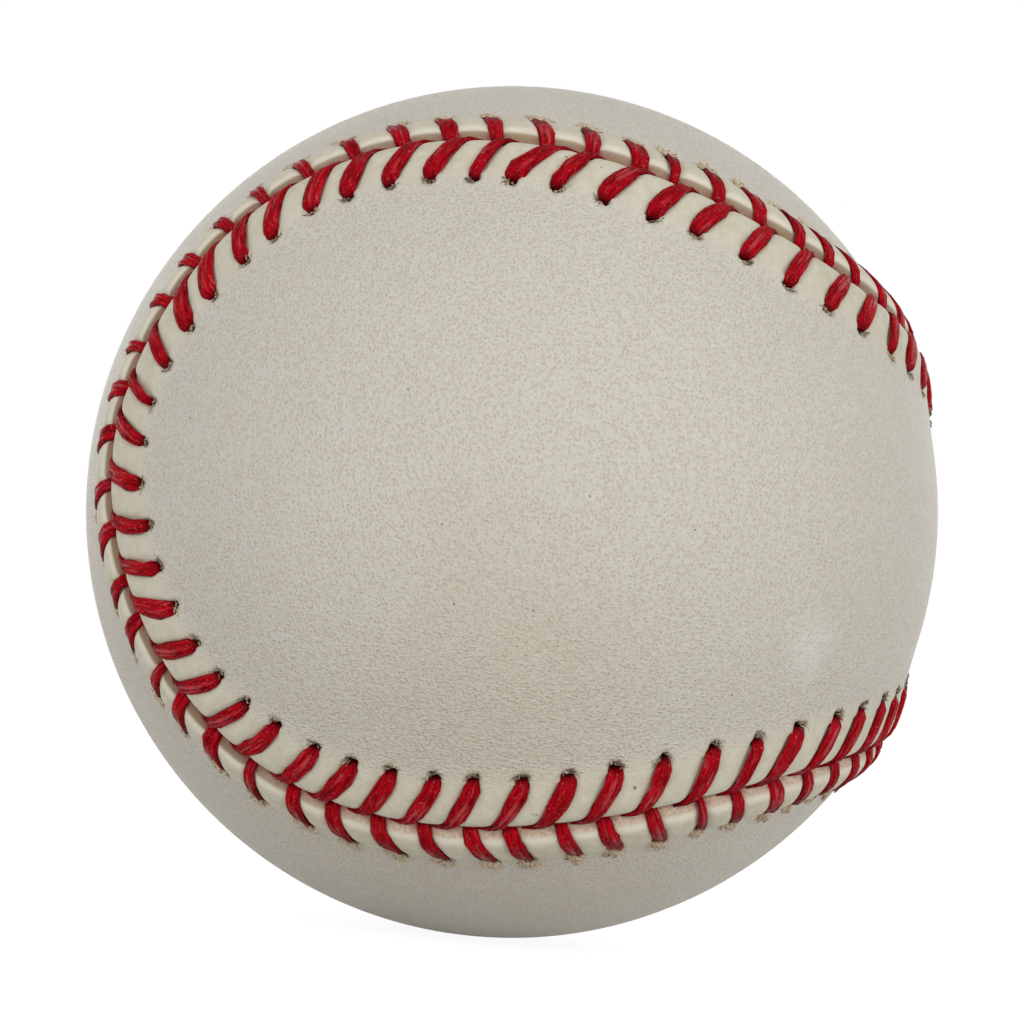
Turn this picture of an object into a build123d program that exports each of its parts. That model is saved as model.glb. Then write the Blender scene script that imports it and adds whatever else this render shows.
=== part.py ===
"""Baseball: a cushioned cork centre, four windings and a stitched figure-eight cover.

Millimetres, +Z up, origin at the centre of the ball. The neck of the right cover panel is at +X and
its lobes are at -Y and +Y. The left panel is the same panel turned over: neck at -X, lobes at +Z
and -Z.
"""

import math
import os
from bisect import bisect_right

from build123d import *

# Layers, from the centre out
cork_diameter = 20.64
black_rubber_thickness = 3.97
washer_thickness = 1.2
red_rubber_thickness = 2.38
first_winding_thickness = 14.6
second_winding_thickness = 1.75
third_winding_thickness = 2.25
finish_winding_thickness = 0.5
cover_thickness = 1.2
layer_clearance = 0.03

# Seam: half the angle across a panel's neck, and how far the lobes swing round the ball
neck_half_angle = 24.36
lobe_swing = 21.14
seam_gap = 0.5

# The lip that each panel raises along the seam
lip_height = 0.8
lip_crest_offset = 1.9
lip_to_hole = 0.16
lip_profile_shares = (-1.2, -0.75, -0.35, 0, 0.35, 0.75, 1.2)

# Stitching
stitch_count = 108
hole_offset = 4.76
hole_diameter = 1.4
thread_width = 1.4
thread_end_width = 0.8
thread_thickness = 0.55
thread_fullness = (0.85, 1, 1, 0.85)
thread_crown_share = 0.5
thread_clearance = 0.08
thread_bow = 1.4
right_strand_advance = 2.85
left_strand_advance = 1.1

# How finely the seam is drawn: faces round the ball, and points along each
seam_faces = 12
points_per_face = 9
seam_samples = 4000

cork_radius = cork_diameter / 2
cup_inside = cork_radius + layer_clearance
cup_radius = cup_inside + black_rubber_thickness
red_inside = cup_radius + layer_clearance
red_radius = red_inside + red_rubber_thickness
first_inside = red_radius + layer_clearance
first_radius = first_inside + first_winding_thickness
second_inside = first_radius + layer_clearance
second_radius = second_inside + second_winding_thickness
third_inside = second_radius + layer_clearance
third_radius = third_inside + third_winding_thickness
finish_inside = third_radius + layer_clearance
finish_radius = finish_inside + finish_winding_thickness
cover_inside = finish_radius + layer_clearance
ball_radius = cover_inside + cover_thickness
lip_foot_offset = hole_offset - hole_diameter / 2 - lip_to_hole


def seam_direction(turn):
    """Unit vector from the centre to the seam; turn runs from 0 to 4 pi once round the ball."""
    lean = math.pi / 2 - (math.pi / 2 - math.radians(neck_half_angle)) * math.cos(turn)
    swing = turn / 2 + math.radians(lobe_swing) * math.sin(2 * turn)
    return Vector(
        math.cos(lean),
        -math.sin(lean) * math.sin(swing),
        math.sin(lean) * math.cos(swing),
    )


def measure_seam():
    """Length along the seam, on the ball's surface, at equal steps of the turn."""
    lengths = [0.0]
    last = seam_direction(0)
    for step in range(seam_samples):
        here = seam_direction(4 * math.pi * (step + 1) / seam_samples)
        lengths.append(lengths[-1] + (here - last).length * ball_radius)
        last = here
    return lengths


seam_lengths = measure_seam()
seam_length = seam_lengths[-1]
stitch_pitch = seam_length / stitch_count


def seam_turn(along):
    """Turn at a length along the seam, which may run past either end of the loop."""
    rounds = math.floor(along / seam_length)
    rest = along - rounds * seam_length
    step = min(bisect_right(seam_lengths, rest) - 1, seam_samples - 1)
    share = (rest - seam_lengths[step]) / (seam_lengths[step + 1] - seam_lengths[step])
    return 4 * math.pi * (rounds + (step + share) / seam_samples)


def seam_frame(along):
    """Unit vectors at a point of the seam: outwards, along it and across it to the right panel."""
    turn = seam_turn(along)
    nudge = 0.0001
    outward = seam_direction(turn)
    forward = (seam_direction(turn + nudge) - seam_direction(turn - nudge)).normalized()
    return outward, forward, outward.cross(forward).normalized()


def seam_point(along, across, height):
    """Point given by lengths along and across the seam and a height over the ball's surface."""
    outward, _, sideways = seam_frame(along)
    angle = across / ball_radius
    direction = outward * math.cos(angle) + sideways * math.sin(angle)
    return direction * (ball_radius + height)


def seam_edge(face_index, across, height):
    """One stretch of a line that keeps its distance from the seam."""
    stretch = seam_length / seam_faces
    start = face_index * stretch
    nudge = 0.05
    alongs = [start + stretch * i / points_per_face for i in range(points_per_face + 1)]
    ends = []
    for along in (alongs[0], alongs[-1]):
        ahead = seam_point(along + nudge, across, height)
        behind = seam_point(along - nudge, across, height)
        ends.append((ahead - behind) * (0.5 / nudge))
    return Edge.make_spline(
        [seam_point(along, across, height) for along in alongs],
        tangents=ends,
        parameters=[along - start for along in alongs],
        scale=False,
    )


def seam_ring(profile):
    """Solid ring round the ball with a closed profile of (across, height) corners."""
    faces = []
    for face_index in range(seam_faces):
        edges = [seam_edge(face_index, across, height) for across, height in profile]
        for first, second in zip(edges, edges[1:] + edges[:1]):
            faces.append(Face.make_surface_from_curves(first, second))
    return Solid(Shell(faces))


def seam_wall(across):
    """Wall through the cover that follows the seam, to part the panels."""
    reach = cover_thickness + lip_height
    faces = []
    for face_index in range(seam_faces):
        low = seam_edge(face_index, across, -2 * reach)
        high = seam_edge(face_index, across, 2 * reach)
        faces.append(Face.make_surface_from_curves(low, high))
    return Shell(faces)


def lip_rise(across):
    """Height of the lip over the ball's surface, a parabola from the crest to the foot."""
    share = (across - lip_crest_offset) / (lip_foot_offset - lip_crest_offset)
    return lip_height * (1 - share**2)


def ball(radius):
    return Solid.make_sphere(radius, angle1=-90, angle2=90, angle3=360)


def hollow_ball(radius, inside):
    return ball(radius) - ball(inside)


def cover_panel():
    """Right panel: a shell with its lip, parted along the seam, with a hole for each stitch."""
    half_width = lip_foot_offset - lip_crest_offset
    offsets = [lip_crest_offset + share * half_width for share in lip_profile_shares]
    lip = [(across, lip_rise(across)) for across in offsets]
    root_depth = cover_thickness / 2
    lip += [(offsets[-1], -root_depth), (offsets[0], -root_depth)]
    cover = hollow_ball(ball_radius, cover_inside).fuse(seam_ring(lip))
    panels = cover.split(seam_wall(seam_gap / 2), keep=Keep.ALL)
    panel = max(panels, key=lambda solid: solid.center().X)
    drills = []
    for stitch in range(stitch_count):
        low = seam_point(stitch * stitch_pitch, hole_offset, -2 * cover_thickness)
        drill = Solid.make_cylinder(hole_diameter / 2, 4 * cover_thickness)
        drills.append(Plane(origin=low, z_dir=low) * drill)
    return panel.cut(*drills)


def strand_section(centre, width_axis, height_axis, width, thickness):
    """Flattened section of the thread: full width underneath, narrower on top."""
    half = width / 2
    crown = half * thread_crown_share
    corners = []
    for sideways, upward in ((-half, -1), (half, -1), (crown, 1), (-crown, 1)):
        corners.append(centre + width_axis * sideways + height_axis * (upward * thickness / 2))
    return Wire.make_polygon(corners)


def lip_point(along, side, across):
    """Point on top of a panel's lip; side is 1 on the right panel and -1 on the left."""
    return seam_point(along, side * across, lip_rise(across))


def lip_normal(along, side, across):
    """Unit vector square to the top of the lip, outwards."""
    nudge = 0.05
    climb = lip_point(along, side, across + nudge) - lip_point(along, side, across - nudge)
    forward = lip_point(along + nudge, side, across) - lip_point(along - nudge, side, across)
    return forward.cross(climb).normalized() * side


def strand(hole_along, side, advance):
    """One visible strand: up out of its hole, over the lip and down into the seam gap.

    It runs back along the seam by the advance, more and more slanted towards the gap.
    """
    lift = thread_thickness / 2 + thread_clearance
    depth = cover_thickness - thread_clearance

    def along_at(across):
        return hole_along - advance * (1 - across / hole_offset) ** thread_bow

    sections = []
    _, forward, _ = seam_frame(hole_along)
    for height in (-depth, thread_clearance):
        centre = seam_point(hole_along, side * hole_offset, height)
        from_seam = centre.cross(forward).normalized() * side
        sections.append(
            strand_section(centre, forward, from_seam, thread_end_width, thread_thickness)
        )

    first_across = lip_foot_offset - 2 * lip_to_hole
    last_across = lip_crest_offset / 2
    for step, fullness in enumerate(thread_fullness):
        share = step / (len(thread_fullness) - 1)
        across = first_across + (last_across - first_across) * share
        along = along_at(across)
        normal = lip_normal(along, side, across)
        ahead = across - thread_clearance
        heading = lip_point(along_at(ahead), side, ahead) - lip_point(along, side, across)
        level = normal.cross(heading).normalized() * -side
        centre = lip_point(along, side, across) + normal * lift
        sections.append(
            strand_section(centre, level, normal, thread_width * fullness, thread_thickness)
        )

    outward, forward, sideways = seam_frame(hole_along - advance)
    bend = seam_point(hole_along - advance, 0, lip_rise(seam_gap / 2) + lift)
    leaning = (outward * 2 - sideways * side).normalized()
    sections.append(strand_section(bend, forward, leaning, thread_end_width, thread_thickness))
    tip = seam_point(hole_along - advance, 0, -depth)
    gap_thickness = seam_gap - 2 * thread_clearance
    sections.append(
        strand_section(tip, forward, sideways * -side, thread_end_width, gap_thickness)
    )
    return Solid.make_loft(sections, ruled=True)


def strands(side, advance):
    """All the strands on one panel."""
    return Compound([strand(stitch * stitch_pitch, side, advance) for stitch in range(stitch_count)])


def rubber_cup(sign):
    """Half of the black rubber shell, short of the joint by half the washer."""
    shell = hollow_ball(cup_radius, cup_inside)
    joint = Plane.XY.offset(sign * (washer_thickness / 2 + layer_clearance))
    return shell.split(joint, keep=Keep.TOP if sign > 0 else Keep.BOTTOM)


def rubber_washer():
    """Flat ring in the joint between the cups, flush with them inside and out."""
    shell = hollow_ball(cup_radius, cup_inside)
    lower = shell.split(Plane.XY.offset(washer_thickness / 2), keep=Keep.BOTTOM)
    return lower.split(Plane.XY.offset(-washer_thickness / 2), keep=Keep.TOP)


right_panel = cover_panel()
turn_over = Axis((0, 0, 0), (0, 1, 1))

nodes = {
    "cork_core": ball(cork_radius),
    "upper_rubber_cup": rubber_cup(1),
    "lower_rubber_cup": rubber_cup(-1),
    "rubber_washer": rubber_washer(),
    "red_rubber_shell": hollow_ball(red_radius, red_inside),
    "first_winding": hollow_ball(first_radius, first_inside),
    "second_winding": hollow_ball(second_radius, second_inside),
    "third_winding": hollow_ball(third_radius, third_inside),
    "finish_winding": hollow_ball(finish_radius, finish_inside),
    "right_cover_panel": right_panel,
    "left_cover_panel": right_panel.rotate(turn_over, 180),
    "right_stitches": strands(1, right_strand_advance),
    "left_stitches": strands(-1, left_strand_advance),
}

os.makedirs("parts", exist_ok=True)
for name, solid in nodes.items():
    export_step(solid, f"parts/{name}.step")
print(f"ball diameter {2 * ball_radius:.2f}, seam length {seam_length:.1f}, pitch {stitch_pitch:.3f}")
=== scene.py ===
"""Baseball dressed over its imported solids: two leather panels, laced seams and frayed stitch holes.

Sizes are in millimetres until the points are written to a mesh. A place near the seam is given by
three lengths: along the seam, across it from the gap, and height over the smooth ball.
"""

import math

import bpy
import numpy as np
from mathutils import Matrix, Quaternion, Vector


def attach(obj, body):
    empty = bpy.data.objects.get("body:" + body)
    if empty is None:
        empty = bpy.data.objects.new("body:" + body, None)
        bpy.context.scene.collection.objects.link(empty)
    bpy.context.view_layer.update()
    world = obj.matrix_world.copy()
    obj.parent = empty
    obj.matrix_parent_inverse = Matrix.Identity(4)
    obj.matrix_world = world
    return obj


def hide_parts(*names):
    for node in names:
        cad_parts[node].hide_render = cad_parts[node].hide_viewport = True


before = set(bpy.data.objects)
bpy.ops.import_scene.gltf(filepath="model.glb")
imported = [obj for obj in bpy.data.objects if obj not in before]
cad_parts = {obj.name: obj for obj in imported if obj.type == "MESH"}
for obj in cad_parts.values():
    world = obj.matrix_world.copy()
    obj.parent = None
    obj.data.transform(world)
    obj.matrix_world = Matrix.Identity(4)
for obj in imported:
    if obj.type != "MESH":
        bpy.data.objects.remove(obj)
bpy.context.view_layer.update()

mm = 0.001
merge_distance = 0.001

# The ball and its seam, as in the solids
ball_radius = 37.18
cover_thickness = 1.2
neck_half_angle = math.radians(24.36)
lobe_swing = math.radians(21.14)
stitch_count = 108
right_hole_across = 4.7
left_hole_across = 4.2
left_hole_slope = 0.45

# Where the lacing runs ahead of even spacing, or behind it: share of the seam, and length
lacing_drift = (
    (0.037, -2.3),
    (0.065, -1.4),
    (0.083, -1.7),
    (0.096, -0.85),
    (0.112, -0.85),
    (0.13, -1.15),
    (0.2, -1.35),
    (0.248, -1.2),
    (0.262, -0.1),
    (0.285, 0.35),
    (0.315, -0.1),
    (0.35, 0.05),
    (0.38, -1.2),
    (0.41, -1.45),
    (0.45, -1.35),
    (0.52, 0.0),
    (0.95, 0.0),
)

# How far each side's strands lead that drift
right_lacing_lead = ((0.0, 0.0),)
left_lacing_lead = (
    (0.05, 0.2),
    (0.085, 0.3),
    (0.112, -0.45),
    (0.157, -0.3),
    (0.2, 0.65),
    (0.248, 0.7),
    (0.265, 0.0),
    (0.35, 0.0),
    (0.368, 0.65),
    (0.395, 0.1),
    (0.44, 0.3),
    (0.52, -0.1),
    (0.95, -0.1),
)

# Spread by chance: holes along the seam and across it, and the strands' width, slant and outline
stitch_wander = 0.16
hole_wander = 0.12
fullness_spread = 0.07
slant_spread = 0.13
raggedness_spread = 0.07

# Leather lip from the foot of the cut edge to the smooth panel: share of the way to the holes, and height
right_cut_edge = ((0.1, -cover_thickness), (0.09, -0.5), (0.065, -0.05), (0.075, 0.3), (0.15, 0.66))
left_cut_edge = ((0.06, -cover_thickness), (0.05, -0.5), (0.02, -0.05), (0.04, 0.26), (0.15, 0.62))
right_lip = (
    (0.28, 0.84),
    (0.46, 0.8),
    (0.68, 0.55),
    (0.87, 0.36),
    (1.05, 0.24),
    (1.25, 0.14),
    (1.5, 0.06),
    (1.75, 0.015),
    (2.0, 0.0),
)
left_lip = (
    (0.3, 0.86),
    (0.48, 0.85),
    (0.68, 0.66),
    (0.84, 0.34),
    (0.95, 0.04),
    (1.155, 0.0),
    (1.4, 0.0),
    (1.7, 0.0),
    (2.0, 0.0),
)
lip_rows_per_span = 3
columns_per_stitch = 16
field_rows = 22
underside_rows = 10

# How the strands press the lip, and how the leather swells between them
strand_press = 0.26
lip_puff = 0.16
puff_spread = 1.35
edge_pull = 0.14
edge_bulge = 0.07
foot_bulge = 0.3

# Stretches of the lip, as shares of the way to the holes: from no effect to full effect
groove_start = (0.0, 0.12)
groove_end = (0.98, 0.86)
puff_start = (0.02, 0.2)
puff_end = (1.0, 0.66)
edge_stretch = (0.27, 0.04)
foot_start = (0.55, 0.85)
foot_end = (1.4, 1.0)
top_start = (0.1, 0.16)
rim_start = (0.75, 0.85)
cream_stretch = (1.3, 0.6)
stain_stretch = (0.2, 0.03)

# The same, by height
top_heights = (-0.1, 0.25)
gap_shade_heights = (0.25, -0.35)

# Stitch holes: a pit with a ragged outline, and a raised rim round it
hole_radius = 0.45
hole_depth = 1.1
hole_length_share = 0.9
slope_narrowing = 0.6
hole_raggedness = 0.22
hole_lobes = 3
lobe_turn = 40
hole_rim = 0.07
rim_radius = 1.6 * hole_radius
rim_width = 0.2

# Spans of the lip's profile: in the cut edge, and on the side of the lip towards the seam
edge_spans = 3
seam_side_spans = 6

# Raw leather, painted shade in the crease and a painted highlight along the far lip's crest, by the
# distance from the middle of the seam
right_raw_edge = (0.95, 0.36)
left_raw_edge = (0.75, 0.58)
crease_stretch = (0.76, 0.63)
crest_highlight_across = 1.0
crest_highlight_width = 0.32

# At the left and the top of the ball the raw edge shows less, and the crease gets a painted brown shade
left_part = (-8.0, -25.0)
top_part = (5.0, 20.0)
close_trim = 0.09
left_crease_shading = 0.9
top_crease_shading = 0.75

# Painted shade deep in the gap, red left by the thread, in half widths of a strand, and worn hide outside
# the holes
gap_shade = 0.5
faintest_stain = 0.35
stain_widths = (2.6, 0.8)
tan_width = 0.35
tan_middle = 0.4
tan_length = 0.5
hole_tan = 0.8
hole_tan_radius = 0.55
brushed_width = 0.85
brushed_middle = 0.55
brushed_length = 0.6

# Thread: along, across and height of each strand from its hole to the gap, and its half widths
right_strand_path = (
    (0.0, 4.54, -0.8),
    (0.0, 4.53, -0.1),
    (-0.05, 4.32, 0.46),
    (-0.42, 3.4, 0.7),
    (-0.98, 2.35, 0.88),
    (-1.55, 1.35, 0.97),
    (-1.98, 0.65, 0.8),
    (-2.55, 0.22, 0.5),
    (-3.45, 0.0, 0.14),
)
left_strand_path = (
    (0.0, 4.05, -0.8),
    (0.0, 4.03, -0.12),
    (-0.06, 3.75, 0.3),
    (-0.32, 2.9, 0.67),
    (-0.62, 2.05, 0.91),
    (-0.86, 1.25, 0.97),
    (-1.04, 0.55, 0.75),
    (-1.14, 0.1, 0.3),
    (-1.24, -0.08, -0.25),
)
right_strand_widths = (
    (0, 0.48),
    (0.1, 0.56),
    (0.14, 0.62),
    (0.24, 0.71),
    (0.42, 0.74),
    (0.55, 0.7),
    (0.66, 0.57),
    (0.8, 0.43),
    (1, 0.26),
)
left_strand_widths = ((0, 0.42), (0.15, 0.58), (0.4, 0.66), (0.7, 0.6), (1, 0.5))
strand_half_thickness = 0.29
thickest_for_width = 0.8
strand_path_steps = 8
strand_section = (
    (1, 0),
    (0.62, 0.85),
    (0, 0.62),
    (-0.62, 0.85),
    (-1, 0),
    (-0.6, -0.8),
    (0, -1),
    (0.6, -0.8),
)
strand_ring_shares = (0, 0.09, 0.14, 0.2, 0.31, 0.45, 0.58, 0.7, 0.84, 1)

# A strand follows the shift of its own hole between these shares of the way to it
hole_pull = (0.6, 1.0)

# Shade along a strand: shares of its length from no shade to full shade, and how dark that is
right_crease_shade = (0.5, 0.9)
right_darkest = 0.45
left_hole_shade = (0.75, 0.15)
left_darkest = 0.7
hole_mouth_shade = (0.2, 0.08)
hole_mouth_darkest = 0.9

# Frayed hide round the stitch holes
hair_sides = 3
hair_rings = 4
hair_length_shares = (0.35, 1.0)
hair_rise_shares = (0.15, 1.0)
hair_girths = (0.7, 1.9)
hair_curl = 0.5
hair_taper = 0.85
hair_sink = 0.08
hair_tip_lift = 0.06
hair_arch = 0.75 * math.pi
right_frays_look = {
    "hairs": 12,
    "slit": 0.25,
    "sway": 0.6,
    "spread": 0.45,
    "nearest_root": 0.42,
    "farthest_root": 0.62,
    "longest": 0.5,
    "radius": 0.09,
    "highest": 0.3,
    "tints": (0.08, 0.85),
}
left_frays_look = {
    "hairs": 30,
    "slit": 0.6,
    "sway": 0.2,
    "spread": 0.22,
    "nearest_root": 0.25,
    "farthest_root": 0.55,
    "longest": 0.8,
    "radius": 0.14,
    "highest": 0.3,
    "tints": (0.7, 1.0),
}

# Camera of the photograph, which is 1024 pixels square
image_size = 1024
camera_azimuth = math.radians(-5.70)
camera_elevation = math.radians(-4.83)
camera_roll = math.radians(5.82)
camera_distance = 219.9
camera_lens = 87.3
sensor_width = 36.0
camera_clip_start = 5.0

# Marks on the leather, by their pixel in the photograph and radius in millimetres
centre_stain_pixel = (502, 548)
centre_stain_radius = 9.0
low_stain_pixel = (500, 715)
low_stain_radius = 13.0
sheen_patch_pixel = (812, 645)
sheen_patch_radius = 3.4
speck_pixels = (
    (408, 389),
    (442, 524),
    (454, 604),
    (533, 611),
    (590, 496),
    (695, 530),
    (190, 418),
    (732, 695),
)
speck_radius = 0.11
lip_spot_pixels = (
    (533, 813),
    (536, 814),
    (547, 808),
    (635, 788),
    (566, 158),
    (601, 169),
    (661, 158),
    (697, 176),
)
lip_spot_radius = 0.23
lip_spot_height = 0.8

# Colours of the finishes, in linear light
leather_grey = (0.63, 0.612, 0.55, 1)
leather_white = (0.66, 0.642, 0.58, 1)
leather_beige = (0.60, 0.55, 0.45, 1)
leather_yellow = (0.68, 0.60, 0.44, 1)
centre_stain_tone = (0.58, 0.52, 0.39, 1)
low_stain_tone = (0.60, 0.525, 0.40, 1)
grain_tone = (0.45, 0.42, 0.36, 1)
pore_tone = (0.49, 0.36, 0.285, 1)
wrinkle_shade_tone = (0.42, 0.365, 0.29, 1)
lip_cream = (0.66, 0.625, 0.505, 1)
handled_lip = (0.51, 0.45, 0.30, 1)
painted_crest_highlight = (0.80, 0.74, 0.62, 1)
tanned_hole = (0.40, 0.28, 0.16, 1)
brushed_hide = (0.73, 0.61, 0.45, 1)
sheen_tone = (0.80, 0.78, 0.73, 1)
speck_tone = (0.09, 0.07, 0.04, 1)
raw_hide_dark = (0.48, 0.33, 0.23, 1)
raw_hide_light = (0.76, 0.62, 0.47, 1)
painted_crease_shading = (0.26, 0.165, 0.095, 1)
thread_stain = (0.36, 0.05, 0.06, 1)
painted_recess_shade = (0.05, 0.035, 0.02, 1)
thread_dark = (0.09, 0.0005, 0.0015, 1)
thread_bright = (0.70, 0.003, 0.013, 1)
thread_deep = (0.27, 0.002, 0.008, 1)
thread_sheen = (0.60, 0.15, 0.17, 1)
thread_glint = (0.75, 0.16, 0.17, 1)
thread_shadow = (0.035, 0.001, 0.002, 1)
fray_dark = (0.03, 0.018, 0.01, 1)
fray_brown = (0.42, 0.31, 0.20, 1)
fray_tan = (0.74, 0.61, 0.44, 1)
fray_cloud = (0.55, 0.43, 0.29, 1)
cork_dark = (0.30, 0.17, 0.08, 1)
cork_light = (0.52, 0.34, 0.19, 1)
cork_brown = (0.42, 0.25, 0.12, 1)
cork_pit = (0.10, 0.05, 0.025, 1)
black_rubber_tones = ((0.012, 0.012, 0.012, 1), (0.03, 0.029, 0.028, 1))
red_rubber_tones = ((0.24, 0.035, 0.025, 1), (0.36, 0.06, 0.04, 1))
grey_wool_tones = ((0.16, 0.16, 0.165, 1), (0.42, 0.42, 0.41, 1))
white_wool_tones = ((0.42, 0.40, 0.35, 1), (0.76, 0.74, 0.68, 1))
white_cotton_tones = ((0.48, 0.47, 0.43, 1), (0.80, 0.79, 0.75, 1))

# Leather grain: stretch of the pores, grain and wrinkles, and where on the ball wrinkles are deepest
pore_stretch = (1.1, 1.1, 0.85)
grain_stretch = (0.95, 0.95, 1.1)
wrinkle_stretch = (0.5, 0.5, 1.25)
deepest_wrinkle_level = -18.0
grain_left_on_lip = 0.25

# Relief and shine of the finishes
leather_relief = 0.045
thread_relief = 0.09
cork_relief = 0.12
rubber_relief = 0.05
yarn_relief = 0.25
leather_specular = 0.35
thread_specular = 0.03
coat_roughness = 0.3

# Studio: pale floor, even sky and two wide lamps, in metres and watts
floor_size = 6.0
floor_paleness = 0.85
floor_glow = 0.75
floor_glow_strength = 1.22
sky_light = 0.41
key_power = 28.2
key_width = 6.4
key_height = 0.9
key_place = (0.1, -1.22, 0.43)
back_power = 9.0
back_width = 2.4
back_height = 0.7
back_place = (0.0, 1.3, 0.35)


# The seam


def seam_direction(turn):
    """Unit vectors from the centre to the seam; turn runs from 0 to 4 pi once round the ball."""
    lean = math.pi / 2 - (math.pi / 2 - neck_half_angle) * np.cos(turn)
    swing = turn / 2 + lobe_swing * np.sin(2 * turn)
    return np.stack(
        [np.cos(lean), -np.sin(lean) * np.sin(swing), np.sin(lean) * np.cos(swing)], axis=-1
    )


seam_turns = np.linspace(0, 4 * math.pi, 8001)
seam_steps = np.linalg.norm(np.diff(seam_direction(seam_turns), axis=0), axis=1) * ball_radius
seam_lengths = np.concatenate([[0], np.cumsum(seam_steps)])
seam_length = seam_lengths[-1]
stitch_pitch = seam_length / stitch_count


def ball_points(along, across, height):
    """Points on the ball for places given along and across the seam and by height."""
    nudge = 0.0001
    turn = np.interp(np.mod(along, seam_length), seam_lengths, seam_turns)
    outward = seam_direction(turn)
    forward = seam_direction(turn + nudge) - seam_direction(turn - nudge)
    forward /= np.linalg.norm(forward, axis=-1, keepdims=True)
    sideways = np.cross(outward, forward)
    angle = (across / ball_radius)[..., None]
    direction = outward * np.cos(angle) + sideways * np.sin(angle)
    return direction * (ball_radius + height)[..., None]


def smooth_line(corners, steps):
    """Points on a rounded line through the corners, some steps to each span."""
    corners = np.array(corners, float)
    ends = np.vstack([2 * corners[0] - corners[1], corners, 2 * corners[-1] - corners[-2]])
    points = []
    for span in range(len(corners) - 1):
        before, start, end, after = ends[span : span + 4]
        for step in range(steps):
            share = step / steps
            points.append(
                start
                + 0.5 * share * (end - before)
                + share**2 * (before - 2.5 * start + 2 * end - 0.5 * after)
                + 0.5 * share**3 * (3 * start - 3 * end + after - before)
            )
    points.append(corners[-1])
    return np.array(points)


def ease(value, start, end):
    """Smooth step from 0 at the start to 1 at the end, which may be the lower of the two."""
    share = np.clip((value - start) / (end - start), 0, 1)
    return share * share * (3 - 2 * share)


def bell(value, width, power=2):
    """1 at zero and next to nothing past twice the width; a higher power gives a flatter top."""
    return np.exp(-np.abs(value / width) ** power)


# Pieces start as primitives and get their points moved


def deselect_all():
    bpy.ops.object.select_all(action="DESELECT")


def read_points(piece):
    points = np.empty(len(piece.data.vertices) * 3, np.float32)
    piece.data.vertices.foreach_get("co", points)
    return points.reshape(-1, 3).astype(float)


def write_points(piece, points):
    """Sets all the points of a piece, given in millimetres."""
    piece.data.vertices.foreach_set("co", (points * mm).astype(np.float32).ravel())
    piece.data.update()


def paint_points(piece, name, *values):
    """Keeps up to four values with each point, for the material to read. The rest are zero."""
    columns = np.zeros((len(piece.data.vertices), 4), np.float32)
    for number, value in enumerate(values):
        columns[:, number] = value
    layer = piece.data.attributes.new(name, "FLOAT_COLOR", "POINT")
    layer.data.foreach_set("color", columns.ravel())


def close_up(piece):
    """Merges the points that meet and turns the faces outwards."""
    deselect_all()
    piece.select_set(True)
    bpy.context.view_layer.objects.active = piece
    bpy.ops.object.mode_set(mode="EDIT")
    bpy.ops.mesh.select_all(action="SELECT")
    bpy.ops.mesh.remove_doubles(threshold=merge_distance * mm)
    bpy.ops.mesh.normals_make_consistent(inside=False)
    bpy.ops.object.mode_set(mode="OBJECT")
    bpy.ops.object.shade_smooth()


def grid(name, columns, rows):
    """A flat grid, with the column and row number of each point."""
    deselect_all()
    bpy.ops.mesh.primitive_grid_add(x_subdivisions=columns, y_subdivisions=rows, size=1, calc_uvs=False)
    piece = bpy.context.object
    piece.name = name
    flat = read_points(piece)
    column = np.rint((flat[:, 0] + 0.5) * columns).astype(int)
    row = np.rint((flat[:, 1] + 0.5) * rows).astype(int)
    return piece, column, row


def row_of_sticks(name, sides, rings, copies):
    """Upright sticks extruded ring by ring, with the copy, corner and ring number of each point."""
    deselect_all()
    bpy.ops.mesh.primitive_circle_add(vertices=sides, radius=0.2, fill_type="NGON", calc_uvs=False)
    piece = bpy.context.object
    piece.name = name
    bpy.ops.object.mode_set(mode="EDIT")
    bpy.ops.mesh.select_all(action="SELECT")
    for _ in range(rings - 1):
        bpy.ops.mesh.extrude_region_move(TRANSFORM_OT_translate={"value": (0, 0, 1)})
    bpy.ops.object.mode_set(mode="OBJECT")
    repeat = piece.modifiers.new("repeat", "ARRAY")
    repeat.count = copies
    repeat.use_relative_offset = False
    repeat.use_constant_offset = True
    repeat.constant_offset_displace = (1, 0, 0)
    bpy.ops.object.modifier_apply(modifier=repeat.name)
    spread = read_points(piece)
    copy = np.rint(spread[:, 0]).astype(int)
    angle = np.arctan2(spread[:, 1], spread[:, 0] - copy)
    corner = np.rint(angle / (2 * math.pi / sides)).astype(int) % sides
    ring = np.rint(spread[:, 2]).astype(int)
    return piece, copy, corner, ring


# Stitches


chance = np.random.default_rng(108)
even_alongs = np.arange(stitch_count) * stitch_pitch


def run_ahead(along, drift):
    """How far the lacing has run ahead at a length along the seam."""
    shares, lengths = zip(*drift)
    return np.interp(along / seam_length, shares, lengths, period=1)


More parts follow.
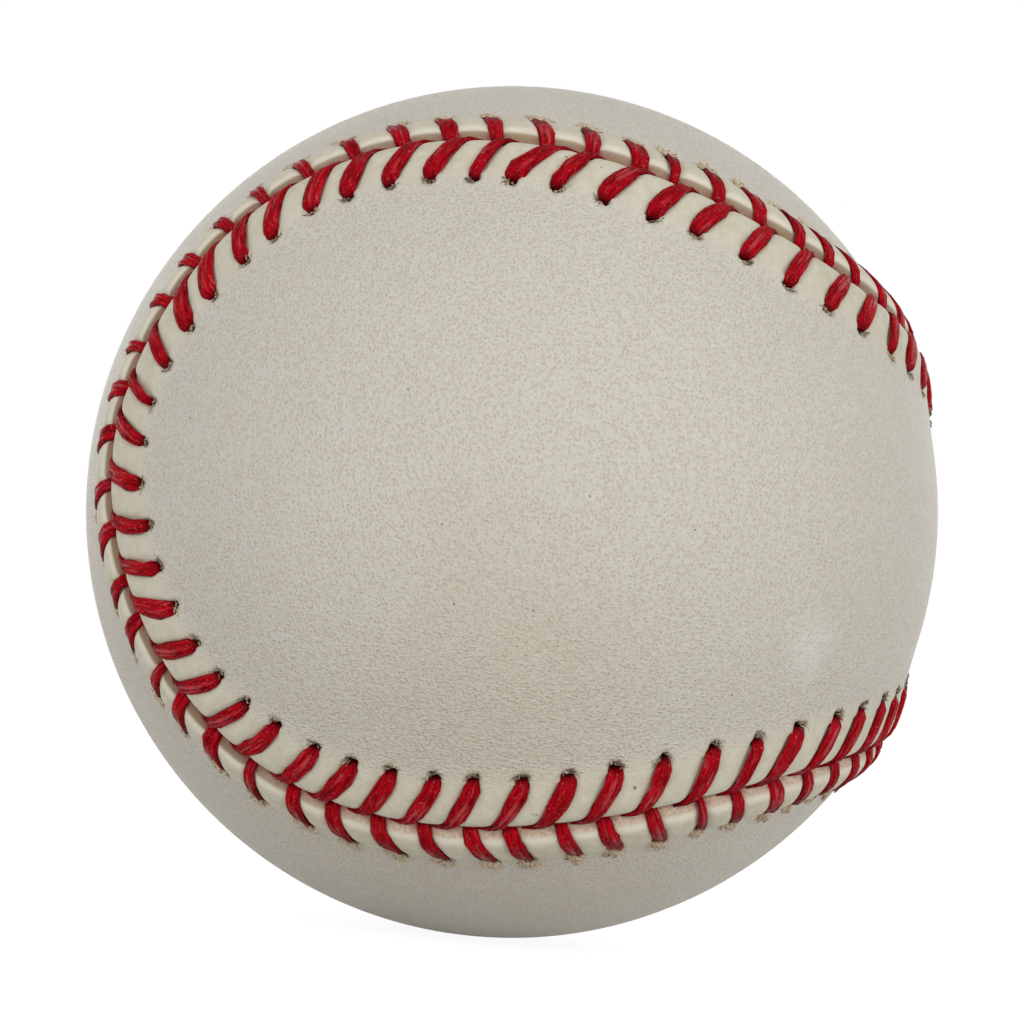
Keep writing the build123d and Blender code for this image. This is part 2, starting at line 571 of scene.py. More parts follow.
class Side:
    """One side of the seam: its panel's sign, edge and holes, and the run of its strands."""

    def __init__(
        self,
        sign,
        first_tip,
        hole_across,
        hole_slope,
        lacing_lead,
        cut_edge,
        lip,
        raw_edge,
        strand_path,
        strand_widths,
        strand_shade,
        darkest_shade,
    ):
        self.sign = sign
        self.first_tip = first_tip
        self.hole_across = hole_across
        self.hole_slope = hole_slope
        self.lacing_lead = lacing_lead
        self.strand_shade = strand_shade
        self.darkest_shade = darkest_shade
        self.profile = [(share * hole_across, height) for share, height in cut_edge + lip]
        self.lip_across, self.lip_heights = zip(*self.profile[len(cut_edge) :])
        self.raw_edge = raw_edge
        self.holes = even_alongs + self.drift(even_alongs)
        self.holes += chance.normal(0, stitch_wander, stitch_count)
        self.hole_shift = chance.normal(0, hole_wander, stitch_count)
        self.fullness = chance.normal(1, fullness_spread, stitch_count)
        self.slant = chance.normal(1, slant_spread, stitch_count)
        self.tint = chance.random(stitch_count)
        corners = (stitch_count, len(strand_ring_shares), len(strand_section))
        self.raggedness = chance.normal(1, raggedness_spread, corners)
        self.path = smooth_line(strand_path, strand_path_steps)
        gaps = np.linalg.norm(np.diff(self.path, axis=0), axis=1)
        self.path_lengths = np.concatenate([[0], np.cumsum(gaps)])
        shares, widths = zip(*strand_widths)
        self.path_widths = np.interp(self.path_lengths / self.path_lengths[-1], shares, widths)

    def drift(self, along):
        """How far the strands of this side have run ahead."""
        return run_ahead(along, lacing_drift) + run_ahead(along, self.lacing_lead)

    def path_at(self, share):
        """Along, across, height and half width of a strand at shares of its length."""
        length = share * self.path_lengths[-1]
        columns = [np.interp(length, self.path_lengths, self.path[:, i]) for i in range(3)]
        return np.stack(columns, axis=-1), np.interp(length, self.path_lengths, self.path_widths)

    def strand_distance(self, along, across):
        """Number of the nearest strand, and the distance from its middle in half widths."""
        order = np.argsort(self.path[:, 1])
        offsets = np.interp(across, self.path[order, 1], self.path[order, 0])
        nudge = 0.05
        slope = (np.interp(across + nudge, self.path[order, 1], self.path[order, 0]) - offsets) / nudge
        half_width = np.interp(across, self.path[order, 1], self.path_widths[order])
        nearest = np.zeros(along.shape, int)
        distance = np.full(along.shape, np.inf)
        guess = np.rint((along - offsets - self.drift(along)) / stitch_pitch).astype(int)
        for step in (-1, 0, 1):
            number = np.mod(guess + step, stitch_count)
            behind = along - offsets * self.slant[number] - self.holes[number]
            behind -= np.rint(behind / seam_length) * seam_length
            share = behind / np.sqrt(1 + slope**2) / (half_width * self.fullness[number])
            closer = np.abs(share) < np.abs(distance)
            nearest[closer] = number[closer]
            distance[closer] = share[closer]
        return nearest, distance


right = Side(
    sign=1,
    first_tip=seam_length / 4,
    hole_across=right_hole_across,
    hole_slope=0.0,
    lacing_lead=right_lacing_lead,
    cut_edge=right_cut_edge,
    lip=right_lip,
    raw_edge=right_raw_edge,
    strand_path=right_strand_path,
    strand_widths=right_strand_widths,
    strand_shade=right_crease_shade,
    darkest_shade=right_darkest,
)
left = Side(
    sign=-1,
    first_tip=0.0,
    hole_across=left_hole_across,
    hole_slope=left_hole_slope,
    lacing_lead=left_lacing_lead,
    cut_edge=left_cut_edge,
    lip=left_lip,
    raw_edge=left_raw_edge,
    strand_path=left_strand_path,
    strand_widths=left_strand_widths,
    strand_shade=left_hole_shade,
    darkest_shade=left_darkest,
)


# Leather panels


def lip_band(name, side):
    """The strip along the seam: cut edge, lip, strand grooves, puffs between them and holes."""
    rows = smooth_line(side.profile, lip_rows_per_span)
    columns = stitch_count * columns_per_stitch
    piece, column, row = grid(name, columns, len(rows) - 1)
    along = column / columns * seam_length
    across = rows[row, 0].copy()
    height = rows[row, 1].copy()
    way_out = across / side.hole_across
    on_top = np.clip(ease(height, *top_heights) + ease(way_out, *top_start), 0, 1)

    number, distance = side.strand_distance(along, across)
    under = bell(distance, 1, 4)
    between = 1 - bell(distance, puff_spread)
    puffed = ease(way_out, *puff_start) * ease(way_out, *puff_end)
    pressed = ease(way_out, *groove_start) * ease(way_out, *groove_end)
    height += on_top * (lip_puff * between * puffed - strand_press * under * pressed)
    across += ease(way_out, *edge_stretch) * (edge_pull * under - edge_bulge * between)
    across += ease(way_out, *foot_start) * ease(way_out, *foot_end) * foot_bulge * between

    aside = along - side.holes[number]
    aside -= np.rint(aside / seam_length) * seam_length
    outwards = across - side.hole_across - side.hole_shift[number] - side.hole_slope * aside
    from_hole = np.hypot(aside * (1 - slope_narrowing * side.hole_slope), outwards * hole_length_share)
    lobes = np.sin(hole_lobes * np.arctan2(outwards, aside) + lobe_turn * side.tint[number])
    pit = bell(from_hole, hole_radius * (1 + hole_raggedness * lobes), 4)
    rim = bell(from_hole - rim_radius, rim_width)
    height += hole_rim * rim * ease(way_out, *rim_start) - hole_depth * pit

    points = ball_points(along, side.sign * across, height)
    write_points(piece, points)

    from_seam, level = rows[row].T
    seam_side = row < seam_side_spans * lip_rows_per_span
    at_left = ease(points[:, 0], *left_part)
    at_top = ease(points[:, 2], *top_part)
    cream = ease(way_out, *cream_stretch)
    raw = ease(from_seam + close_trim * np.maximum(at_left, at_top), *side.raw_edge) * seam_side
    raw = np.maximum(raw, row < edge_spans * lip_rows_per_span)
    # Painted shade in the holes and deep in the gap between the panels
    recess_shade = np.maximum(pit, gap_shade * ease(level, *gap_shade_heights) * seam_side)
    stain = faintest_stain + (1 - faintest_stain) * side.tint[number]
    stain = stain * ease(np.abs(distance), *stain_widths) * ease(way_out, *stain_stretch)
    paint_points(piece, "seam_zone", cream, raw, recess_shade, stain)

    far_side = side.sign < 0
    tan = bell(aside, tan_width) * bell(outwards - tan_middle, tan_length)
    tan = np.maximum(tan, hole_tan * bell(from_hole, hole_tan_radius, 4))
    brushed = bell(aside, brushed_width, 4) * bell(outwards - brushed_middle, brushed_length, 4) * far_side
    # Painted highlight along the crest of the far lip
    crest_highlight = bell(from_seam - crest_highlight_across, crest_highlight_width) * seam_side * far_side
    # Painted shade in the crease, strongest at the left and the top of the ball
    crease_shading = ease(from_seam, *crease_stretch) * seam_side
    crease_shading = crease_shading * np.maximum(left_crease_shading * at_left, top_crease_shading * at_top)
    paint_points(piece, "hole_zone", tan, brushed, crest_highlight, crease_shading)
    return piece


def sheet_inside(name, side, across, height, rows):
    """A sheet that closes a panel inside a line at some distance from the seam."""
    columns = stitch_count * columns_per_stitch // 2
    piece, column, row = grid(name, columns, rows)
    step = seam_length / (2 * columns)
    share = row / rows
    level = np.full(len(row), height)
    reach = np.full(len(row), side.sign * across)
    one_edge = ball_points(side.first_tip + column * step, reach, level)
    other_edge = ball_points(side.first_tip - column * step, reach, level)
    points = one_edge * (1 - share)[:, None] + other_edge * share[:, None]
    points *= (ball_radius + height) / np.linalg.norm(points, axis=1, keepdims=True)
    write_points(piece, points)
    paint_points(piece, "seam_zone")
    paint_points(piece, "hole_zone")
    return piece


def leather_panel(name, side):
    """One closed figure-eight panel."""
    band = lip_band(name, side)
    field = sheet_inside(name + "_field", side, side.profile[-1][0], 0.0, field_rows)
    underside = sheet_inside(
        name + "_underside", side, side.profile[0][0], -cover_thickness, underside_rows
    )
    deselect_all()
    for sheet in (underside, field, band):
        sheet.select_set(True)
    bpy.context.view_layer.objects.active = band
    bpy.ops.object.join()
    close_up(band)
    return band


# Thread


def strand_shape(side, number, ring, corner):
    """Along, across and height of the points of the strands, and what the thread material reads."""
    share = np.array(strand_ring_shares)[ring]
    middle, half_width = side.path_at(share)
    nudge = 0.01
    ahead, _ = side.path_at(np.minimum(share + nudge, 1))
    behind, _ = side.path_at(np.maximum(share - nudge, 0))
    heading = ahead - behind
    heading /= np.linalg.norm(heading, axis=1, keepdims=True)
    width_axis = np.array([1.0, 0, 0]) - heading * heading[:, :1]
    width_axis /= np.linalg.norm(width_axis, axis=1, keepdims=True)
    up_axis = np.cross(heading, width_axis)
    section = np.array(strand_section)[corner]
    half_width = half_width * side.fullness[number] * side.raggedness[number, ring, corner]
    half_thickness = np.minimum(strand_half_thickness, thickest_for_width * half_width)
    places = middle + width_axis * (section[:, 0] * half_width)[:, None]
    places += up_axis * (section[:, 1] * half_thickness)[:, None]
    length = share * side.path_lengths[-1]
    shade = side.darkest_shade * ease(share, *side.strand_shade)
    shade = np.maximum(shade, hole_mouth_darkest * ease(share, *hole_mouth_shade))
    lay = np.stack([section[:, 0] * half_width, length, side.tint[number], shade], axis=-1)
    return places, lay


def strands(name, side):
    """All the strands over one panel's lip."""
    rings = len(strand_ring_shares)
    piece, number, corner, ring = row_of_sticks(name, len(strand_section), rings, stitch_count)
    places, lay = strand_shape(side, number, ring, corner)
    along = places[:, 0] * side.slant[number] + side.holes[number]
    at_hole = ease(places[:, 1] / side.hole_across, *hole_pull)
    across = places[:, 1] + (side.hole_shift[number] + side.hole_slope * lay[:, 0]) * at_hole
    write_points(piece, ball_points(along, side.sign * across, places[:, 2]))
    paint_points(piece, "lay", *lay.T)
    close_up(piece)
    return piece


def hole_hairs(
    name, side, hairs, slit, sway, spread, nearest_root, farthest_root, longest, radius, highest, tints
):
    """Loose fibres of hide that the needle pulled up round each hole."""
    copies = stitch_count * hairs
    piece, hair, corner, ring = row_of_sticks(name, hair_sides, hair_rings, copies)
    number = hair // hairs
    lean = chance.normal(0, sway, stitch_count)[number]
    turn = lean + chance.normal(0, spread, copies)[hair]
    root = chance.uniform(nearest_root, farthest_root, copies)[hair]
    length = chance.uniform(*hair_length_shares, copies)[hair] * longest
    rise = chance.uniform(*hair_rise_shares, copies)[hair] * highest
    curl = chance.normal(0, hair_curl, copies)[hair]
    girth = chance.uniform(*hair_girths, copies)[hair]
    tint = chance.uniform(*tints, copies)[hair]
    aside = chance.uniform(-slit, slit, copies)[hair]
    share = ring / (hair_rings - 1)
    heading = turn + curl * share
    reach = root + length * share
    spoke = 2 * math.pi * corner / hair_sides
    thickness = radius * girth * (1 - hair_taper * share)
    along = side.holes[number] + aside + np.sin(heading) * reach
    along += np.cos(heading) * thickness * np.cos(spoke)
    across = side.hole_across + side.hole_shift[number] + side.hole_slope * aside + np.cos(heading) * reach
    across -= np.sin(heading) * thickness * np.cos(spoke)
    height = np.interp(across, side.lip_across, side.lip_heights) - hair_sink + thickness * np.sin(spoke)
    height += rise * np.sin(hair_arch * share) + hair_tip_lift * share
    write_points(piece, ball_points(along, side.sign * across, height))
    paint_points(piece, "lay", tint, share)
    close_up(piece)
    return piece


# Materials


def add_node(tree, kind, inputs=None, **settings):
    """A node with its settings, whose inputs are set to values or joined to other nodes' outputs."""
    node = tree.nodes.new(kind)
    for name, value in settings.items():
        setattr(node, name, value)
    for socket, value in (inputs or {}).items():
        if isinstance(value, bpy.types.NodeSocket):
            tree.links.new(value, node.inputs[socket])
        else:
            node.inputs[socket].default_value = value
    return node


def math_node(tree, operation, first, second=0.0):
    return add_node(tree, "ShaderNodeMath", {0: first, 1: second}, operation=operation).outputs[0]


def times(tree, first, second):
    return math_node(tree, "MULTIPLY", first, second)


def stretch(tree, value, low, high, to_low=0.0, to_high=1.0):
    """Maps low..high of a value to another range, and holds it at the ends."""
    inputs = {0: value, 1: low, 2: high, 3: to_low, 4: to_high}
    return add_node(tree, "ShaderNodeMapRange", inputs).outputs[0]


def blend(tree, share, first, second):
    """One colour laid over another by a share."""
    inputs = {0: share, 6: first, 7: second}
    return add_node(tree, "ShaderNodeMix", inputs, data_type="RGBA").outputs[2]


def laid_over(tree, colour, layers):
    """A colour with others laid over it in turn, each by a mask and a share of it."""
    for mask, share, tone in layers:
        colour = blend(tree, times(tree, mask, share), colour, tone)
    return colour


def scaled(tree, vector, scale):
    inputs = {0: vector, 1: scale}
    return add_node(tree, "ShaderNodeVectorMath", inputs, operation="MULTIPLY").outputs[0]


def noise(tree, vector, scale, detail=3.0, roughness=0.5):
    inputs = {"Vector": vector, "Scale": scale, "Detail": detail, "Roughness": roughness}
    return add_node(tree, "ShaderNodeTexNoise", inputs).outputs[0]


def new_group(name, inputs, output):
    """An empty shader group with named inputs and one output."""
    tree = bpy.data.node_groups.new(name, "ShaderNodeTree")
    for socket, kind in inputs:
        tree.interface.new_socket(name=socket, in_out="INPUT", socket_type=kind)
    tree.interface.new_socket(name=output, in_out="OUTPUT", socket_type="NodeSocketFloat")
    entry = tree.nodes.new("NodeGroupInput")
    leave = tree.nodes.new("NodeGroupOutput")
    return tree, entry.outputs, leave.inputs


def use_group(tree, group, **inputs):
    node = tree.nodes.new("ShaderNodeGroup")
    node.node_tree = group
    for name, value in inputs.items():
        socket = node.inputs[name.replace("_", " ")]
        if isinstance(value, bpy.types.NodeSocket):
            tree.links.new(value, socket)
        else:
            socket.default_value = value
    return node.outputs[0]


def make_mottle():
    """Soft cloudy change over a surface, from 0 to 1."""
    tree, given, out = new_group(
        "mottle", (("Place", "NodeSocketVector"), ("Scale", "NodeSocketFloat")), "Cloud"
    )
    cloud = noise(tree, given["Place"], given["Scale"], 4.0, 0.55)
    tree.links.new(stretch(tree, cloud, 0.3, 0.7), out["Cloud"])
    return tree


def make_pores():
    """Small round pits, 1 in the middle of each."""
    tree, given, out = new_group(
        "pores",
        (("Place", "NodeSocketVector"), ("Scale", "NodeSocketFloat"), ("Size", "NodeSocketFloat")),
        "Pit",
    )
    inputs = {"Vector": given["Place"], "Scale": given["Scale"], "Randomness": 0.8}
    cells = add_node(tree, "ShaderNodeTexVoronoi", inputs)
    pit = stretch(tree, cells.outputs["Distance"], given["Size"], 0.05)
    tree.links.new(pit, out["Pit"])
    return tree


def make_dimples():
    """Close, even dimples without larger clouds, 1 in the dips."""
    tree, given, out = new_group(
        "dimples", (("Place", "NodeSocketVector"), ("Scale", "NodeSocketFloat")), "Dip"
    )
    waves = noise(tree, given["Place"], given["Scale"], 1.0, 0.5)
    tree.links.new(stretch(tree, waves, 0.6, 0.3), out["Dip"])
    return tree


def make_fibres():
    """Long fine lines that run along the second axis of the place."""
    tree, given, out = new_group(
        "fibres",
        (("Place", "NodeSocketVector"), ("Fineness", "NodeSocketFloat"), ("Length", "NodeSocketFloat")),
        "Line",
    )
    drawn_out = add_node(
        tree,
        "ShaderNodeCombineXYZ",
        {0: given["Fineness"], 1: math_node(tree, "DIVIDE", 1.0, given["Length"]), 2: given["Fineness"]},
    )
    lines = noise(tree, scaled(tree, given["Place"], drawn_out.outputs[0]), 1.0, 3.0, 0.6)
    tree.links.new(stretch(tree, lines, 0.3, 0.7), out["Line"])
    return tree


def make_spot():
    """A round mark with a ragged rim."""
    tree, given, out = new_group(
        "spot",
        (("Place", "NodeSocketVector"), ("Middle", "NodeSocketVector"), ("Radius", "NodeSocketFloat")),
        "Mark",
    )
    inputs = {0: given["Place"], 1: given["Middle"]}
    away = add_node(tree, "ShaderNodeVectorMath", inputs, operation="DISTANCE").outputs["Value"]
    share = math_node(tree, "DIVIDE", away, given["Radius"])
    per_radius = math_node(tree, "DIVIDE", 1.6, given["Radius"])
    ragged = noise(tree, given["Place"], per_radius, 2.0)
    share = math_node(tree, "ADD", share, math_node(tree, "SUBTRACT", ragged, 0.5))
    tree.links.new(stretch(tree, share, 1.0, 0.35), out["Mark"])
    return tree


mottle = make_mottle()
pores = make_pores()
dimples = make_dimples()
fibres = make_fibres()
spot = make_spot()


def new_material(name):
    """A material with its shader, and the place on the object in millimetres."""
    material = bpy.data.materials.new(name)
    material.use_nodes = True
    tree = material.node_tree
    shader = tree.nodes["Principled BSDF"]
    coordinates = tree.nodes.new("ShaderNodeTexCoord")
    place = scaled(tree, coordinates.outputs["Object"], (1000, 1000, 1000))
    return material, tree, shader, place


def dent(tree, shader, height, distance):
    """Bumps the surface by a height from 0 to 1 that stands for so many millimetres."""
    bump = add_node(tree, "ShaderNodeBump", {"Height": height, "Distance": distance * mm})
    tree.links.new(bump.outputs[0], shader.inputs["Normal"])


def attribute(tree, name):
    """The four values kept with the points of a piece."""
    node = add_node(tree, "ShaderNodeAttribute", attribute_name=name)
    split = add_node(tree, "ShaderNodeSeparateColor", {0: node.outputs["Color"]})
    return [*split.outputs[:3], node.outputs["Alpha"]], node.outputs["Vector"]


def surface(tree, shader, colour, roughness):
    tree.links.new(colour, shader.inputs["Base Color"])
    tree.links.new(roughness, shader.inputs["Roughness"])


def spot_at(tree, place, pixel, radius, height=0.0):
    """A round mark where a pixel of the photograph shows the ball."""
    return use_group(tree, spot, Place=place, Middle=ball_point(pixel, height), Radius=radius)


def leather():
    """White hide, pored and grained on the panels, creamier on the lips and raw at the cut edges."""
    material, tree, shader, place = new_material("white_leather")
    (cream, raw, recess_shade, stain), _ = attribute(tree, "seam_zone")
    (tan, brushed, crest_highlight, crease_shading), _ = attribute(tree, "hole_zone")
    level = add_node(tree, "ShaderNodeSeparateXYZ", {0: place}).outputs[2]
    low_down = stretch(tree, level, 0.0, deepest_wrinkle_level)
    panel = stretch(tree, cream, 0.0, 1.0, 1.0, grain_left_on_lip)
    clouds = use_group(tree, mottle, Place=place, Scale=0.07)
    patches = use_group(tree, mottle, Place=place, Scale=0.6)
    lip_patches = use_group(tree, mottle, Place=place, Scale=1.2)
    tinge = use_group(tree, dimples, Place=place, Scale=3.1)
    pits = use_group(tree, pores, Place=scaled(tree, place, pore_stretch), Scale=3.7, Size=0.54)
    pits = times(tree, pits, panel)
    grain = use_group(tree, dimples, Place=scaled(tree, place, grain_stretch), Scale=7.0)
    grain = times(tree, grain, panel)
    # Wrinkles deepen towards the bottom of the ball; the darkening they give the colour there is painted
    # shade
    wrinkles = use_group(tree, dimples, Place=scaled(tree, place, wrinkle_stretch), Scale=5.2)
    wrinkles = times(tree, times(tree, wrinkles, low_down), panel)
    torn = use_group(tree, fibres, Place=place, Fineness=3.0, Length=0.5)
    centre_stain = spot_at(tree, place, centre_stain_pixel, centre_stain_radius)
    low_stain = spot_at(tree, place, low_stain_pixel, low_stain_radius)
    sheen = spot_at(tree, place, sheen_patch_pixel, sheen_patch_radius)
    specks = 0.0
    for pixels, radius, height in (
        (speck_pixels, speck_radius, 0.0),
        (lip_spot_pixels, lip_spot_radius, lip_spot_height),
    ):
        for pixel in pixels:
            specks = math_node(tree, "MAXIMUM", specks, spot_at(tree, place, pixel, radius, height))

    layers = (
        (patches, 0.1, leather_beige),
        (tinge, 0.4, leather_yellow),
        (centre_stain, 0.18, centre_stain_tone),
        (low_stain, 0.45, low_stain_tone),
        (grain, 0.36, grain_tone),
        (pits, 0.66, pore_tone),
        # Wrinkles: real relief in the bump, and painted shade in the colour towards the bottom
        (wrinkles, 0.24, wrinkle_shade_tone),
        (cream, 0.8, lip_cream),
        (times(tree, cream, lip_patches), 0.6, handled_lip),
        # Painted highlight along the crest of the far lip
        (crest_highlight, 0.7, painted_crest_highlight),
        (tan, 0.4, tanned_hole),
        (brushed, 0.85, brushed_hide),
        # Painted highlight on the sheen patch, besides its real coat and lower roughness
        (sheen, 0.12, sheen_tone),
        (specks, 0.85, speck_tone),
        (raw, 1.0, blend(tree, torn, raw_hide_dark, raw_hide_light)),
        # Painted shade in the crease
        (crease_shading, 1.0, painted_crease_shading),
        (stain, 0.8, thread_stain),
        # Painted shade in the holes and deep in the gap
        (recess_shade, 1.0, painted_recess_shade),
    )
    colour = laid_over(tree, blend(tree, clouds, leather_grey, leather_white), layers)
    rough = stretch(tree, grain, 0.0, 1.0, 0.62, 0.5)
    rough = math_node(tree, "SUBTRACT", rough, times(tree, sheen, 0.14))
    rough = math_node(tree, "ADD", rough, times(tree, raw, 0.3))
    surface(tree, shader, colour, rough)
    tree.links.new(sheen, shader.inputs["Coat Weight"])
    shader.inputs["Coat Roughness"].default_value = coat_roughness
    shader.inputs["Specular IOR Level"].default_value = leather_specular
    dips = math_node(tree, "ADD", times(tree, grain, 0.5), pits)
    dips = math_node(tree, "ADD", dips, wrinkles)
    dent(tree, shader, math_node(tree, "SUBTRACT", times(tree, torn, raw), dips), leather_relief)
    return material


def waxed_thread():
    """Red thread with lines along it, a glossy coat on its streaks, painted sheen and glints in its
    colour, and painted shade at its ends.
    """
    material, tree, shader, place = new_material("waxed_red_thread")
    (_, _, tint, shade), lay = attribute(tree, "lay")
    lines = use_group(tree, fibres, Place=lay, Fineness=6.0, Length=1.6)
    streaks = use_group(tree, fibres, Place=lay, Fineness=2.6, Length=2.6)
    fine_lines = use_group(tree, fibres, Place=place, Fineness=5.0, Length=0.25)
    layers = (
        (tint, 0.3, thread_deep),
        # Painted sheen along the streaks and painted glints on the fine lines
        (stretch(tree, streaks, 0.6, 1.0), 0.32, thread_sheen),
        (stretch(tree, fine_lines, 0.8, 1.0), 0.5, thread_glint),
        # Painted shade towards the ends of each strand
        (shade, 1.0, thread_shadow),
    )
    colour = laid_over(tree, blend(tree, lines, thread_dark, thread_bright), layers)
    surface(tree, shader, colour, stretch(tree, lines, 0.0, 1.0, 0.6, 0.34))
    gloss = math_node(tree, "MAXIMUM", streaks, stretch(tree, fine_lines, 0.1, 1.0))
    tree.links.new(stretch(tree, gloss, 0.65, 1.0, 0.0, 0.4), shader.inputs["Coat Weight"])
    shader.inputs["Coat Roughness"].default_value = coat_roughness
    shader.inputs["Specular IOR Level"].default_value = thread_specular
    dent(tree, shader, math_node(tree, "ADD", lines, times(tree, fine_lines, 0.4)), thread_relief)
    return material


def frayed_hide():
    """Loose fibres, from dark through brown to tan by their tint."""
    material, tree, shader, place = new_material("frayed_hide")
    (tint, share, _, _), _ = attribute(tree, "lay")
    clouds = use_group(tree, mottle, Place=place, Scale=2.0)
    layers = (
        (stretch(tree, tint, 0.6, 0.9), 1.0, fray_tan),
        (clouds, 0.25, fray_cloud),
    )
    colour = laid_over(tree, blend(tree, stretch(tree, tint, 0.1, 0.6), fray_dark, fray_brown), layers)
    surface(tree, shader, colour, stretch(tree, share, 0.0, 1.0, 0.9, 0.7))
    return material


def cork():
    """Pressed cork granules with small pits."""
    material, tree, shader, place = new_material("composition_cork")
    grains = add_node(tree, "ShaderNodeTexVoronoi", {"Vector": place, "Scale": 0.55})
    granule = add_node(tree, "ShaderNodeSeparateColor", {0: grains.outputs["Color"]}).outputs[0]
    pits = use_group(tree, pores, Place=place, Scale=1.4, Size=0.4)
    clouds = use_group(tree, mottle, Place=place, Scale=0.4)
    layers = (
        (clouds, 0.3, cork_brown),
        (pits, 0.7, cork_pit),
    )
    colour = laid_over(tree, blend(tree, granule, cork_dark, cork_light), layers)
    surface(tree, shader, colour, stretch(tree, clouds, 0.0, 1.0, 0.75, 0.9))
    dent(tree, shader, math_node(tree, "SUBTRACT", granule, pits), cork_relief)
    return material


def rubber(name, dark, light):
    """Moulded rubber, a little cloudy, with a few pits."""
    material, tree, shader, place = new_material(name)
    clouds = use_group(tree, mottle, Place=place, Scale=0.25)
    pits = use_group(tree, pores, Place=place, Scale=1.1, Size=0.16)
    rough = stretch(tree, clouds, 0.0, 1.0, 0.5, 0.68)
    rough = math_node(tree, "ADD", rough, times(tree, pits, 0.2))
    surface(tree, shader, blend(tree, clouds, dark, light), rough)
    dent(tree, shader, math_node(tree, "SUBTRACT", clouds, pits), rubber_relief)
    return material


def wound_yarn(name, dark, light, yarn_width, fuzz):
    """Yarn laid in crossing turns: patches of parallel rounds, each patch at its own angle."""
    material, tree, shader, place = new_material(name)
    cells = add_node(tree, "ShaderNodeTexVoronoi", {"Vector": place, "Scale": 0.11})
    inputs = {0: cells.outputs["Color"], 1: (0.5, 0.5, 0.5)}
    axis = add_node(tree, "ShaderNodeVectorMath", inputs, operation="SUBTRACT")
    unit = add_node(tree, "ShaderNodeVectorMath", {0: axis.outputs[0]}, operation="NORMALIZE")
    inputs = {0: place, 1: unit.outputs[0]}
    level = add_node(tree, "ShaderNodeVectorMath", inputs, operation="DOT_PRODUCT").outputs["Value"]
    turns = times(tree, level, math.pi / yarn_width)
    rounds = math_node(tree, "ABSOLUTE", math_node(tree, "SINE", turns))
    clouds = use_group(tree, mottle, Place=place, Scale=0.3)
    hairs = use_group(tree, fibres, Place=place, Fineness=5.0, Length=0.8)
    shade = times(tree, rounds, stretch(tree, hairs, 0.0, 1.0, 1.0 - fuzz, 1.0))
    colour = laid_over(tree, blend(tree, shade, dark, light), ((clouds, 0.3, dark),))
    surface(tree, shader, colour, stretch(tree, hairs, 0.0, 1.0, 0.95, 0.8))
    dent(tree, shader, math_node(tree, "ADD", rounds, times(tree, hairs, fuzz)), yarn_relief)
    return material


def dress(piece, material):
    piece.data.materials.clear()
    piece.data.materials.append(material)


# Camera


def place_camera():
    """Camera at the photograph's viewing angle, turned a little about its own line of sight."""
    camera = bpy.data.objects.new("camera", bpy.data.cameras.new("camera"))
    bpy.context.scene.collection.objects.link(camera)
    camera.data.lens = camera_lens
    camera.data.sensor_width = sensor_width
    camera.data.clip_start = camera_clip_start * mm
    towards = Vector(
        (
            math.sin(camera_azimuth) * math.cos(camera_elevation),
            -math.cos(camera_azimuth) * math.cos(camera_elevation),
            math.sin(camera_elevation),
        )
    )
    turn = towards.to_track_quat("Z", "Y") @ Quaternion((0, 0, 1), camera_roll)
    camera.rotation_euler = turn.to_euler()
    camera.location = towards * camera_distance * mm
    bpy.context.scene.camera = camera
    return towards * camera_distance, turn


camera_place, camera_turn = place_camera()


def ball_point(pixel, height=0.0):
    """Point at a height over the smooth ball that shows at a pixel of the photograph."""
    focal = camera_lens / sensor_width * image_size
    ray = camera_turn @ Vector((pixel[0] - image_size / 2, image_size / 2 - pixel[1], -focal)).normalized()
    nearest = -camera_place.dot(ray)
    depth = camera_place.length_squared - nearest**2
    return camera_place + ray * (nearest - math.sqrt(max((ball_radius + height) ** 2 - depth, 0)))


# Pieces


leather_finish = leather()
thread_finish = waxed_thread()
hair_finish = frayed_hide()

right_leather = leather_panel("right_leather", right)
left_leather = leather_panel("left_leather", left)
right_thread = strands("right_thread", right)
left_thread = strands("left_thread", left)
right_frays = hole_hairs("right_hole_frays", right, **right_frays_look)
left_frays = hole_hairs("left_hole_frays", left, **left_frays_look)

for piece, finish, slot in (
    (right_leather, leather_finish, "white_leather"),
    (left_leather, leather_finish, "white_leather"),
    (right_thread, thread_finish, "red_thread"),
    (left_thread, thread_finish, "red_thread"),
    (right_frays, hair_finish, "white_leather"),
    (left_frays, hair_finish, "white_leather"),
):
    dress(piece, finish)
    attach(piece, "root")

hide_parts("right_cover_panel")
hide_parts("left_cover_panel")
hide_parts("right_stitches")
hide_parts("left_stitches")

black_rubber = rubber("black_rubber", *black_rubber_tones)
red_rubber = rubber("red_rubber", *red_rubber_tones)
grey_wool = wound_yarn("grey_wool", *grey_wool_tones, yarn_width=1.3, fuzz=0.35)
white_wool = wound_yarn("white_wool", *white_wool_tones, yarn_width=1.1, fuzz=0.3)
white_cotton = wound_yarn("white_cotton", *white_cotton_tones, yarn_width=0.5, fuzz=0.15)
for node_name, finish in (
    ("cork_core", cork()),
    ("upper_rubber_cup", black_rubber),
    ("lower_rubber_cup", black_rubber),
    ("rubber_washer", red_rubber),
    ("red_rubber_shell", red_rubber),
    ("first_winding", grey_wool),
    ("second_winding", white_wool),
    ("third_winding", grey_wool),
    ("finish_winding", white_cotton),
):
    dress(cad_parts[node_name], finish)


# Studio


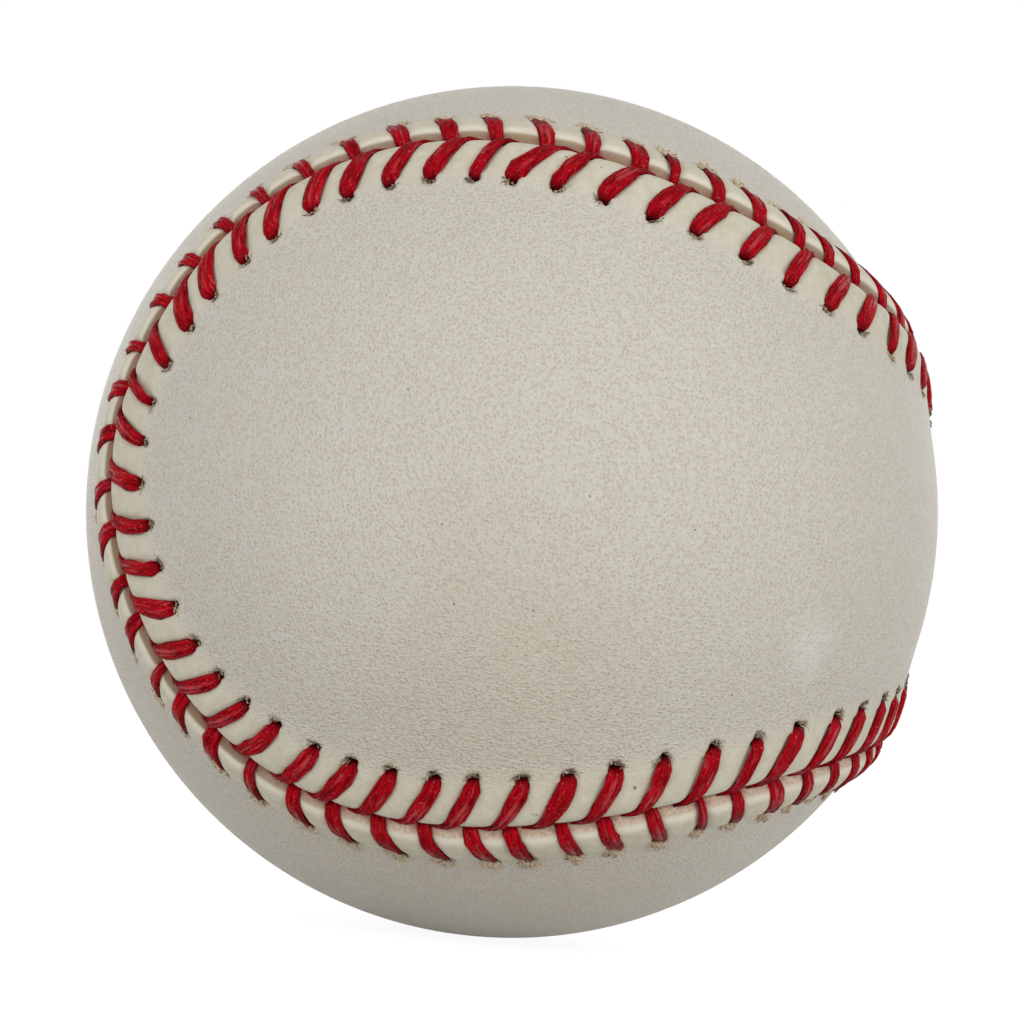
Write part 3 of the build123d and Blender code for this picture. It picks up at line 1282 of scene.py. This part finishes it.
def seen_directly(tree):
    """1 for rays that show the background: from the camera, in a gloss or through glass."""
    path = tree.nodes.new("ShaderNodeLightPath")
    seen = math_node(tree, "MAXIMUM", path.outputs["Is Camera Ray"], path.outputs["Is Glossy Ray"])
    return math_node(tree, "MAXIMUM", seen, path.outputs["Is Transmission Ray"])


def studio_floor():
    deselect_all()
    bpy.ops.mesh.primitive_plane_add(size=floor_size, location=(0, 0, -ball_radius * mm))
    floor = bpy.context.object
    floor.name = "studio_floor"
    bpy.ops.object.transform_apply(location=True)
    material = bpy.data.materials.new("pale_floor")
    material.use_nodes = True
    tree = material.node_tree
    shader = tree.nodes["Principled BSDF"]
    shader.inputs["Base Color"].default_value = (floor_paleness, floor_paleness, floor_paleness, 1)
    shader.inputs["Roughness"].default_value = 1.0
    shader.inputs["Specular IOR Level"].default_value = 0.0
    glow = add_node(tree, "ShaderNodeEmission", {"Strength": floor_glow_strength})
    share = times(tree, seen_directly(tree), floor_glow)
    mixed = add_node(tree, "ShaderNodeMixShader", {0: share, 1: shader.outputs[0], 2: glow.outputs[0]})
    tree.links.new(mixed.outputs[0], tree.nodes["Material Output"].inputs[0])
    dress(floor, material)


def soft_lamp(name, power, width, height, place):
    """A wide soft lamp turned towards the ball."""
    lamp = bpy.data.lights.new(name, "AREA")
    lamp.shape = "RECTANGLE"
    lamp.size = width
    lamp.size_y = height
    lamp.energy = power
    holder = bpy.data.objects.new(name, lamp)
    holder.location = place
    holder.rotation_euler = Vector(place).to_track_quat("Z", "Y").to_euler()
    bpy.context.scene.collection.objects.link(holder)


def studio_light():
    world = bpy.data.worlds.new("studio")
    world.use_nodes = True
    tree = world.node_tree
    strength = stretch(tree, seen_directly(tree), 0.0, 1.0, sky_light, 1.0)
    tree.links.new(strength, tree.nodes["Background"].inputs["Strength"])
    tree.nodes["Background"].inputs["Color"].default_value = (1, 1, 1, 1)
    bpy.context.scene.world = world
    soft_lamp("key_light", key_power, key_width, key_height, key_place)
    soft_lamp("back_light", back_power, back_width, back_height, back_place)


studio_floor()
studio_light()
bpy.context.scene.view_settings.view_transform = "Standard"
